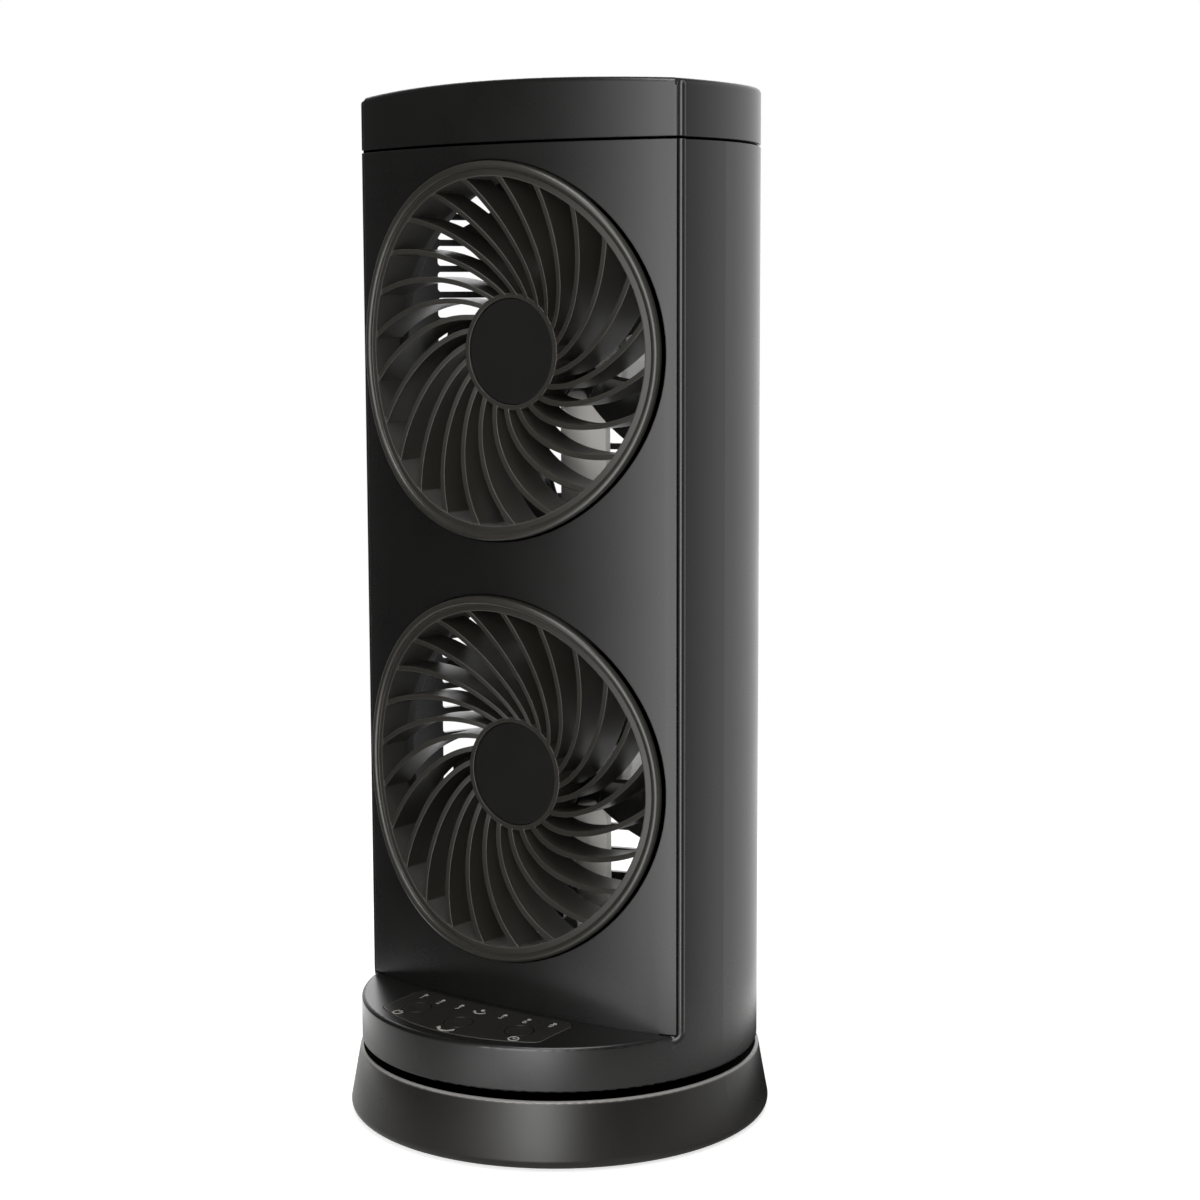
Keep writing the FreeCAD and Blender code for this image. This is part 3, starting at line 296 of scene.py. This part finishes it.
# tower shell, with the groove under its cap in the dark
shellLook = dict(plasticLook, colour=(0.0056, 0.0055, 0.0053),
                 seam=307.75 * mm, seamFull=0.30 * mm, seamEnd=0.48 * mm)


def seamShade(material, look):
    tree = material.node_tree
    height = splitPlace(tree)[2]
    away = mathNode(tree, "ABSOLUTE", mathNode(tree, "SUBTRACT", height, look["seam"]))
    shadowAt(tree, rangeNode(tree, away, look["seamFull"], look["seamEnd"], 1.0, 0.0))


finishes["shell"] = mouldedPlastic("satinCharcoal", shellLook)
seamShade(finishes["shell"], shellLook)

# foot: a painted highlight along the round rim, and painted shade on the deck inside it
baseLook = dict(plasticLook, colour=(0.0110, 0.0103, 0.0092), ior=1.40,
                rimHighlightColour=(0.20, 0.195, 0.185), rimHeight=18.6 * mm, rimSoft=0.4 * mm,
                rimFrom=65.0 * mm, rimFull=64.7 * mm, deckFrom=64.1 * mm, deckFull=63.7 * mm)


def rimHighlightAndDeckShade(material, look):
    tree = material.node_tree
    x, y, z = splitPlace(tree)
    reach = reachNode(tree, x, y)
    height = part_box("base_shell")[0][2] + look["rimHeight"]
    above = rangeNode(tree, z, height - look["rimSoft"], height)
    rim = rangeNode(tree, reach, look["rimFrom"], look["rimFull"])
    # painted highlight: the rim's fillet is lighter in colour
    tint(tree, mathNode(tree, "MULTIPLY", rim, above), opaque(look["rimHighlightColour"]))
    deck = rangeNode(tree, reach, look["deckFrom"], look["deckFull"])
    shadowAt(tree, mathNode(tree, "MULTIPLY", deck, above))


finishes["base"] = mouldedPlastic("baseCharcoal", baseLook)
rimHighlightAndDeckShade(finishes["base"], baseLook)

# grilles: the outer wall of each ring stands in the shade of its gap, low and to the side,
# and the inner wall is duller than the rest
# the large edge share paints a strong highlight on the vane edges
grilleLook = dict(plasticLook, colour=(0.0178, 0.0168, 0.0138), rough=0.34,
                  wearHighlight=0.6, wearHighlightColour=(0.088, 0.083, 0.072), wallFrom=57.5 * mm, wallFull=57.57 * mm,
                  shadeSide=0.8, shadeDrop=0.6, shadeFrom=-14.0 * mm, shadeFull=6.0 * mm,
                  bowCentre=129.5 * mm, footFrom=163.9 * mm, footFull=163.4 * mm,
                  band=53.0 * mm, bandFull=0.15 * mm, bandEnd=0.4 * mm, bandMatt=0.45)


def ringWall(material, look):
    tree = material.node_tree
    x, y, z = splitPlace(tree)
    lower, upper = [sum(end[2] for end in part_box(name)) / 2 for name in ("lower_hub_cap", "upper_hub_cap")]
    onUpper = mathNode(tree, "GREATER_THAN", z, (lower + upper) / 2)
    step = mathNode(tree, "MULTIPLY", onUpper, upper - lower)
    rise = mathNode(tree, "SUBTRACT", mathNode(tree, "SUBTRACT", z, lower), step)
    nearest = reachNode(tree, x, rise)
    wall = rangeNode(tree, nearest, look["wallFrom"], look["wallFull"])
    sideways = mathNode(tree, "MULTIPLY", x, look["shadeSide"])
    drop = mathNode(tree, "MULTIPLY", rise, look["shadeDrop"])
    side = rangeNode(tree, mathNode(tree, "SUBTRACT", sideways, drop), look["shadeFrom"], look["shadeFull"])
    front = reachNode(tree, x, mathNode(tree, "SUBTRACT", y, look["bowCentre"]))
    foot = rangeNode(tree, front, look["footFrom"], look["footFull"])
    shadowAt(tree, mathNode(tree, "MULTIPLY", mathNode(tree, "MULTIPLY", wall, side), foot))
    inside = mathNode(tree, "ABSOLUTE", mathNode(tree, "SUBTRACT", nearest, look["band"]))
    dull = rangeNode(tree, inside, look["bandFull"], look["bandEnd"], look["bandMatt"], 0.0)
    rough = tree.nodes["Principled BSDF"].inputs["Roughness"]
    tree.links.new(mathNode(tree, "ADD", rough.links[0].from_socket, dull, clamp=True), rough)


finishes["grille"] = mouldedPlastic("grilleCharcoal", grilleLook)
ringWall(finishes["grille"], grilleLook)

# control film, with a painted highlight: a fine lighter line just inside its edge
overlayLook = dict(plasticLook, colour=(0.0130, 0.0126, 0.0108), relief=0.10, edge=0.08 * mm,
                   edgeHighlight=(0.064, 0.062, 0.056), lineFrom=0.10 * mm, lineTo=0.32 * mm, lineCorner=2.0 * mm)


def filmEdgeHighlight(material, look):
    tree = material.node_tree
    low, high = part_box("control_overlay")
    x, y, z = splitPlace(tree)
    sideways = mathNode(tree, "SUBTRACT", high[0], mathNode(tree, "ABSOLUTE", x))
    inward = mathNode(tree, "SUBTRACT", -low[1], reachNode(tree, x, y))
    nearest = mathNode(tree, "SMOOTH_MIN", sideways, inward, look["lineCorner"])
    edgeHighlight = rangeNode(tree, nearest, look["lineFrom"], look["lineTo"], 1.0, 0.0)
    # painted highlight: a lighter band along the film's edge
    tint(tree, edgeHighlight, opaque(look["edgeHighlight"]))


finishes["overlay"] = mouldedPlastic("printedFilm", overlayLook)
filmEdgeHighlight(finishes["overlay"], overlayLook)

# plain finishes
hubLook = dict(plasticLook, colour=(0.0046, 0.0045, 0.0041), rough=0.50, relief=0.5, ior=1.28)
finishes["hub_cap"] = mouldedPlastic("matteHubBlack", hubLook)
impellerLook = dict(plasticLook, colour=(0.0120, 0.0117, 0.0110), rough=0.22, relief=0.06, dust=0.04,
                    ior=1.65)
finishes["impeller"] = mouldedPlastic("glossBladeBlack", impellerLook)
buttonLook = dict(plasticLook, colour=overlayLook["colour"], rough=0.32, relief=0.16, edge=0.12 * mm)
finishes["button"] = mouldedPlastic("keyPlastic", buttonLook)
lensLook = dict(plasticLook, colour=(0.30, 0.30, 0.29), rough=0.22, relief=0.05, edge=0.08 * mm)
finishes["lens"] = mouldedPlastic("smokedLens", lensLook)
rubberLook = dict(plasticLook, colour=(0.017, 0.017, 0.017), rough=0.78, grain=0.8 * mm, relief=0.6,
                  dust=0.10)
finishes["rubber"] = mouldedPlastic("softRubber", rubberLook)
gearLook = dict(plasticLook, colour=(0.86, 0.84, 0.79), rough=0.42, wearHighlight=0.1, wearHighlightColour=(0.88, 0.87, 0.83))
finishes["gear"] = mouldedPlastic("naturalAcetal", gearLook)
innerLook = dict(plasticLook, colour=(0.019, 0.0185, 0.0172), rough=0.46, dust=0.08)
finishes["inner"] = mouldedPlastic("innerGrey", innerLook)
boardLook = dict(plasticLook, colour=(0.025, 0.11, 0.055), rough=0.32, relief=0.1,
                 wearHighlightColour=(0.20, 0.26, 0.15))
finishes["board"] = mouldedPlastic("boardGreen", boardLook)
switchLook = dict(plasticLook, colour=(0.035, 0.035, 0.036), rough=0.42)
finishes["switch"] = mouldedPlastic("switchBlack", switchLook)
steelLook = dict(metalLook, colour=(0.62, 0.62, 0.60), rough=0.30, streak=(900, 900, 900))
finishes["steel"] = plainMetal("zincSteel", steelLook)
canLook = dict(metalLook, colour=(0.50, 0.50, 0.49), rough=0.36, streak=(200, 2600, 200))
finishes["motor_can"] = plainMetal("motorCan", canLook)
print("finishes made:", len(finishes))

slotOfNode = {entry["node"]: entry["material_slot"] for entry in frame["record"]["subparts"]}
print("slots by node:", len(slotOfNode))

for name in nodes:
    slot = slotOfNode.get(name)
    if slot in finishes:
        mesh = nodes[name].data
        mesh.materials.clear()
        mesh.materials.append(finishes[slot])
    else:
        print("no finish for", name, slot)


# marks printed on the control film: a row of numbers with a sway sign, and a sign for each button

markLook = {"ink": (0.34, 0.33, 0.30), "inkThin": 0.75, "inkRough": 0.5,
            "screen": 2600.0, "screenDetail": 3.0, "thick": 0.03 * mm, "stroke": 0.55 * mm, "arcSteps": 72,
            "numbers": ("1", "2", "3", "", "3", "6", "9"), "numberSize": 3.3 * mm,
            "rowPitch": 8.7 * mm, "rowBow": 112.0 * mm, "rowCrown": 41.4 * mm, "rowSway": 1.75 * mm,
            "keyRing": 57.95 * mm, "keySpread": 23.7, "dial": 1.3 * mm,
            "powerStart": 128.0, "powerSweep": 284.0, "powerBar": 0.8,
            "handWidth": 0.8, "handLong": 0.8, "handShort": 0.6, "handShift": 0.3,
            "keySway": 2.5 * mm, "swayStart": 205.0, "swaySweep": 130.0, "swayWidth": 0.34, "swayRise": 0.68,
            "swayHead": 1.2, "swayTips": ((202.0, 112.0), (338.0, 68.0))}  # place and heading of each head


def flatArc(look, radius, width, start, sweep):
    clearSelection()
    bpy.ops.mesh.primitive_circle_add(vertices=look["arcSteps"], radius=radius, fill_type="NOTHING")
    arc = bpy.context.object
    bpy.ops.object.mode_set(mode="EDIT")
    bpy.ops.mesh.select_mode(type="VERT")
    bpy.ops.mesh.select_all(action="DESELECT")
    bpy.ops.object.mode_set(mode="OBJECT")
    for corner in arc.data.vertices:
        turned = (math.degrees(math.atan2(corner.co.y, corner.co.x)) - start) % 360.0
        corner.select = turned > sweep
    bpy.ops.object.mode_set(mode="EDIT")
    bpy.ops.mesh.delete(type="VERT")
    bpy.ops.mesh.select_all(action="SELECT")
    bpy.ops.mesh.extrude_region_move()
    grown = (radius + width) / radius
    bpy.ops.transform.resize(value=(grown, grown, 1.0), center_override=(0.0, 0.0, 0.0))
    bpy.ops.object.mode_set(mode="OBJECT")
    return arc


def flatBar(width, height, x, y):
    clearSelection()
    bpy.ops.mesh.primitive_plane_add(size=1.0)
    bar = bpy.context.object
    bpy.ops.object.mode_set(mode="EDIT")
    bpy.ops.transform.resize(value=(width, height, 1.0), center_override=(0.0, 0.0, 0.0))
    bpy.ops.transform.translate(value=(x, y, 0.0))
    bpy.ops.object.mode_set(mode="OBJECT")
    return bar


def flatArrow(size, ring, place, heading):  # a small head at an angle on a ring
    clearSelection()
    bpy.ops.mesh.primitive_circle_add(vertices=3, radius=size, fill_type="NGON")
    head = bpy.context.object
    turn = Matrix.Rotation(math.radians(heading - 90.0), 4, "Z")
    around = math.radians(place)
    head.matrix_world = Matrix.Translation((ring * math.cos(around), ring * math.sin(around), 0.0)) @ turn
    bpy.ops.object.transform_apply(location=True, rotation=True, scale=True)
    return head


def flatNumber(text, size):
    clearSelection()
    bpy.ops.object.text_add()
    number = bpy.context.object
    number.data.body = text
    number.data.size = size
    number.data.align_x = "CENTER"
    number.data.align_y = "CENTER"
    bpy.ops.object.convert(target="MESH")
    return bpy.context.object


def joinPieces(pieces, name):
    clearSelection()
    for piece in pieces:
        piece.select_set(True)
    bpy.context.view_layer.objects.active = pieces[0]
    bpy.ops.object.join()
    joined = bpy.context.object
    joined.name = name
    return joined


def layOnFilm(mark, x, y, turn, lift):
    film = nodes["control_overlay"]
    struck, place, normal, face = film.ray_cast(Vector((x, y, 1.0)), -upward)
    if not struck:
        print("no film under", mark.name)
    lean = upward.rotation_difference(normal).to_matrix().to_4x4()
    spin = Matrix.Rotation(math.radians(turn), 4, "Z")
    clearSelection()
    mark.select_set(True)
    bpy.context.view_layer.objects.active = mark
    mark.matrix_world = Matrix.Translation(place + lift * normal) @ lean @ spin
    bpy.ops.object.transform_apply(location=True, rotation=True, scale=True)


def powerSign(look):
    ring = flatArc(look, look["dial"], look["stroke"], look["powerStart"], look["powerSweep"])
    bar = flatBar(look["stroke"], look["dial"], 0.0, look["powerBar"] * look["dial"])
    return joinPieces([ring, bar], "powerSign")


def swaySign(look, ring):  # an arc with a head at each end, moved up to its middle
    width = look["swayWidth"] * ring
    arc = flatArc(look, ring, width, look["swayStart"], look["swaySweep"])
    heads = [flatArrow(look["swayHead"] * width, ring + 0.5 * width, *tip) for tip in look["swayTips"]]
    sign = joinPieces([arc] + heads, "swaySign")
    bpy.ops.object.mode_set(mode="EDIT")
    bpy.ops.mesh.select_all(action="SELECT")
    bpy.ops.transform.translate(value=(0.0, look["swayRise"] * ring, 0.0))
    bpy.ops.object.mode_set(mode="OBJECT")
    return sign


def timerSign(look):
    ring = flatArc(look, look["dial"], look["stroke"], 0.0, 360.0)
    width = look["handWidth"] * look["stroke"]
    shift = look["handShift"] * look["dial"]
    hands = [flatBar(width, look["handLong"] * look["dial"], 0.0, shift),
             flatBar(look["handShort"] * look["dial"], width, shift, 0.0)]
    return joinPieces([ring] + hands, "timerSign")


def inkMaterial(look):
    material, tree, shader, coords = startMaterial("paleInk")
    screen = noiseNode(tree, coords, look["screen"], look["screenDetail"])
    inked = mixColour(tree, screen, opaque(look["ink"], look["inkThin"]), opaque(look["ink"]))
    tree.links.new(inked, shader.inputs["Base Color"])
    shader.inputs["Roughness"].default_value = look["inkRough"]
    return material


def printMarks(look):
    marks = []
    for index, text in enumerate(look["numbers"]):
        x = (index - len(look["numbers"]) // 2) * look["rowPitch"]
        y = look["rowBow"] - look["rowCrown"] - math.sqrt(look["rowBow"] ** 2 - x ** 2)
        mark = flatNumber(text, look["numberSize"]) if text else swaySign(look, look["rowSway"])
        layOnFilm(mark, x, y, 0.0, look["thick"])
        marks.append(mark)
    ring = look["keyRing"]
    signs = (powerSign(look), swaySign(look, look["keySway"]), timerSign(look))
    for step, sign in zip((-1, 0, 1), signs):
        turn = step * look["keySpread"]
        bearing = math.radians(turn)
        layOnFilm(sign, ring * math.sin(bearing), -ring * math.cos(bearing), turn, look["thick"])
        marks.append(sign)
    count = len(marks)
    printed = joinPieces(marks, "printedMarks")
    skin = printed.modifiers.new("inkSkin", "SOLIDIFY")
    skin.thickness = look["thick"]
    skin.offset = 0.0
    bpy.ops.object.modifier_apply(modifier=skin.name)
    bpy.ops.object.mode_set(mode="EDIT")
    bpy.ops.mesh.select_all(action="SELECT")
    bpy.ops.mesh.normals_make_consistent(inside=False)
    bpy.ops.object.mode_set(mode="OBJECT")
    printed.data.materials.clear()
    printed.data.materials.append(inkMaterial(look))
    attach(printed, "tower")
    print("marks printed:", count)


printMarks(markLook)


# stage: floor, world, lamps, camera

def glowNodes(tree, vector, glows, start):  # soft lobes of light round the vertical axis
    level = vectorNode(tree, "MULTIPLY", vector, (1.0, 1.0, 0.0)).outputs["Vector"]
    bearing = vectorNode(tree, "NORMALIZE", level).outputs["Vector"]
    total = start
    for azimuth, tightness, strength in glows:
        angle = math.radians(azimuth)
        toward = vectorNode(tree, "DOT_PRODUCT", bearing, (math.sin(angle), -math.cos(angle), 0.0))
        ahead = mathNode(tree, "MAXIMUM", toward.outputs["Value"], 0.0)
        glow = mathNode(tree, "MULTIPLY", mathNode(tree, "POWER", ahead, tightness), strength)
        total = mathNode(tree, "ADD", glow, total)
    return total


def seenRays(tree):  # what the camera sees, straight or through glass, and what gloss mirrors
    light = tree.nodes.new("ShaderNodeLightPath").outputs
    seen = mathNode(tree, "MAXIMUM", light["Is Camera Ray"], light["Is Transmission Ray"])
    return seen, light["Is Glossy Ray"]


floorLook = {"radius": 0.9, "corners": 96, "colour": (0.72, 0.72, 0.71), "lift": 0.66,
             "solid": 0.26, "fade": 0.75,
             "mirrorSolid": 0.155, "mirrorFade": 0.195,  # gloss sees less of the floor
             "near": 0.118, "clear": 0.145, "shade": (150.0, 0.8, 1.0),  # the darker side of the contact
             # pools of light: bearing, tightness, strength, and where they start and are full
             "pools": ((4.0, 26.0, 1.78, 0.118, 0.145), (-100.0, 3.0, 1.25, 0.118, 0.145),
                       (4.0, 26.0, 0.95, 0.15, 0.18), (160.0, 2.0, 0.9, 0.13, 0.155),
                       (75.0, 4.0, 0.35, 0.118, 0.145))}


def makeFloor(look):
    clearSelection()
    bpy.ops.mesh.primitive_circle_add(vertices=look["corners"], radius=look["radius"], fill_type="NGON")
    floor = bpy.context.object
    floor.name = "paleFloor"
    material = bpy.data.materials.new("paleFloor")
    material.use_nodes = True
    tree = material.node_tree
    tree.nodes.remove(tree.nodes["Principled BSDF"])
    seen, mirrored = seenRays(tree)
    place = tree.nodes.new("ShaderNodeTexCoord").outputs["Object"]
    away = vectorNode(tree, "LENGTH", place).outputs["Value"]
    underFoot = rangeNode(tree, away, look["near"], look["clear"], 1.0, 0.0)
    contact = mathNode(tree, "MULTIPLY", glowNodes(tree, place, (look["shade"],), 0.0), underFoot)
    dark = mathNode(tree, "MULTIPLY", contact, mirrored)
    diffuse = tree.nodes.new("ShaderNodeBsdfDiffuse")
    tree.links.new(mixColour(tree, dark, opaque(look["colour"]), black), diffuse.inputs["Color"])
    pools = 0.0
    for bearing, tightness, strength, start, full in look["pools"]:
        pool = glowNodes(tree, place, ((bearing, tightness, strength),), 0.0)
        outside = rangeNode(tree, away, start, full)
        pools = mathNode(tree, "ADD", mathNode(tree, "MULTIPLY", pool, outside), pools)
    direct = mathNode(tree, "MULTIPLY", seen, look["lift"])
    pooled = mathNode(tree, "MULTIPLY", mirrored, pools)
    glow = tree.nodes.new("ShaderNodeEmission")
    tree.links.new(mathNode(tree, "MAXIMUM", direct, pooled), glow.inputs["Strength"])
    both = tree.nodes.new("ShaderNodeAddShader")
    tree.links.new(diffuse.outputs[0], both.inputs[0])
    tree.links.new(glow.outputs[0], both.inputs[1])
    thinning = rangeNode(tree, away, look["solid"], look["fade"])
    mirrorThinning = rangeNode(tree, away, look["mirrorSolid"], look["mirrorFade"])
    far = mathNode(tree, "MAXIMUM", thinning, mathNode(tree, "MULTIPLY", mirrorThinning, mirrored))
    blend = tree.nodes.new("ShaderNodeMixShader")
    tree.links.new(far, blend.inputs[0])
    tree.links.new(both.outputs[0], blend.inputs[1])
    tree.links.new(tree.nodes.new("ShaderNodeBsdfTransparent").outputs[0], blend.inputs[2])
    tree.links.new(blend.outputs[0], tree.nodes["Material Output"].inputs["Surface"])
    floor.data.materials.append(material)


worldLook = {"dim": 0.03, "low": 0.45, "high": 0.85,  # the glows end between these rises
             "glows": ((27.0, 30.0, 5.2), (16.0, 12.0, 2.6), (152.0, 2.2, 1.12), (-140.0, 9.0, 1.5))}


def makeWorld(look):  # white to the camera, and a dim room with glows to the object
    world = bpy.data.worlds.new("whiteRoom")
    scene.world = world
    world.use_nodes = True
    tree = world.node_tree
    back = tree.nodes["Background"]
    toward = tree.nodes.new("ShaderNodeTexCoord").outputs["Generated"]
    room = glowNodes(tree, toward, look["glows"], look["dim"])
    split = tree.nodes.new("ShaderNodeSeparateXYZ")
    tree.links.new(toward, split.inputs[0])
    reach = rangeNode(tree, split.outputs["Z"], look["low"], look["high"], 1.0, 0.0)
    shown = tree.nodes.new("ShaderNodeMix")
    tree.links.new(seenRays(tree)[0], shown.inputs[0])
    tree.links.new(mathNode(tree, "MULTIPLY", room, reach), shown.inputs[2])
    shown.inputs[3].default_value = 1.0
    tree.links.new(shown.outputs[0], back.inputs["Strength"])
    back.inputs["Color"].default_value = (1.0, 1.0, 1.0, 1.0)


lampLook = {"aim": (0.0, 0.0, 0.17),
            # azimuth, elevation, distance, width and height, radiance
            "boxes": {"topSoftbox": (38.0, 70.0, 1.05, (0.6, 0.6), 7.5),
                      "backSoftbox": (-140.0, 24.0, 1.2, (0.6, 0.5), 1.3)}}


def addSoftbox(name, target, azimuth, elevation, distance, size, radiance):
    aim = Vector(target)
    turn = math.radians(azimuth)
    rise = math.radians(elevation)
    away = Vector((math.sin(turn) * math.cos(rise), -math.cos(turn) * math.cos(rise), math.sin(rise)))
    place = aim + distance * away
    clearSelection()
    bpy.ops.object.light_add(type="AREA", location=place)
    lamp = bpy.context.object
    lamp.name = name
    lamp.data.shape = "RECTANGLE"
    lamp.data.size, lamp.data.size_y = size
    lamp.data.energy = radiance * math.pi * size[0] * size[1]
    lamp.rotation_euler = (aim - place).to_track_quat("-Z", "Y").to_euler()
    lamp.visible_camera = False


cameraLook = {"eye": (0.47279, -0.61050, 0.26513), "heading": 36.7429, "down": 7.3727, "roll": -0.1916,
              "lens": 73.004, "sensor": 36.0}


def makeCamera(look):
    camera = bpy.data.cameras.new("photoCamera")
    camera.sensor_width = look["sensor"]
    camera.lens = look["lens"]
    holder = bpy.data.objects.new("photoCamera", camera)
    scene.collection.objects.link(holder)
    turn = Matrix.Rotation(math.radians(look["heading"]), 4, "Z")
    tilt = Matrix.Rotation(math.radians(90.0 - look["down"]), 4, "X")
    roll = Matrix.Rotation(math.radians(look["roll"]), 4, "Z")
    holder.matrix_world = Matrix.Translation(look["eye"]) @ turn @ tilt @ roll
    scene.camera = holder


makeFloor(floorLook)
makeWorld(worldLook)
for name, box in lampLook["boxes"].items():
    addSoftbox(name, lampLook["aim"], *box)
makeCamera(cameraLook)
print("stage made")
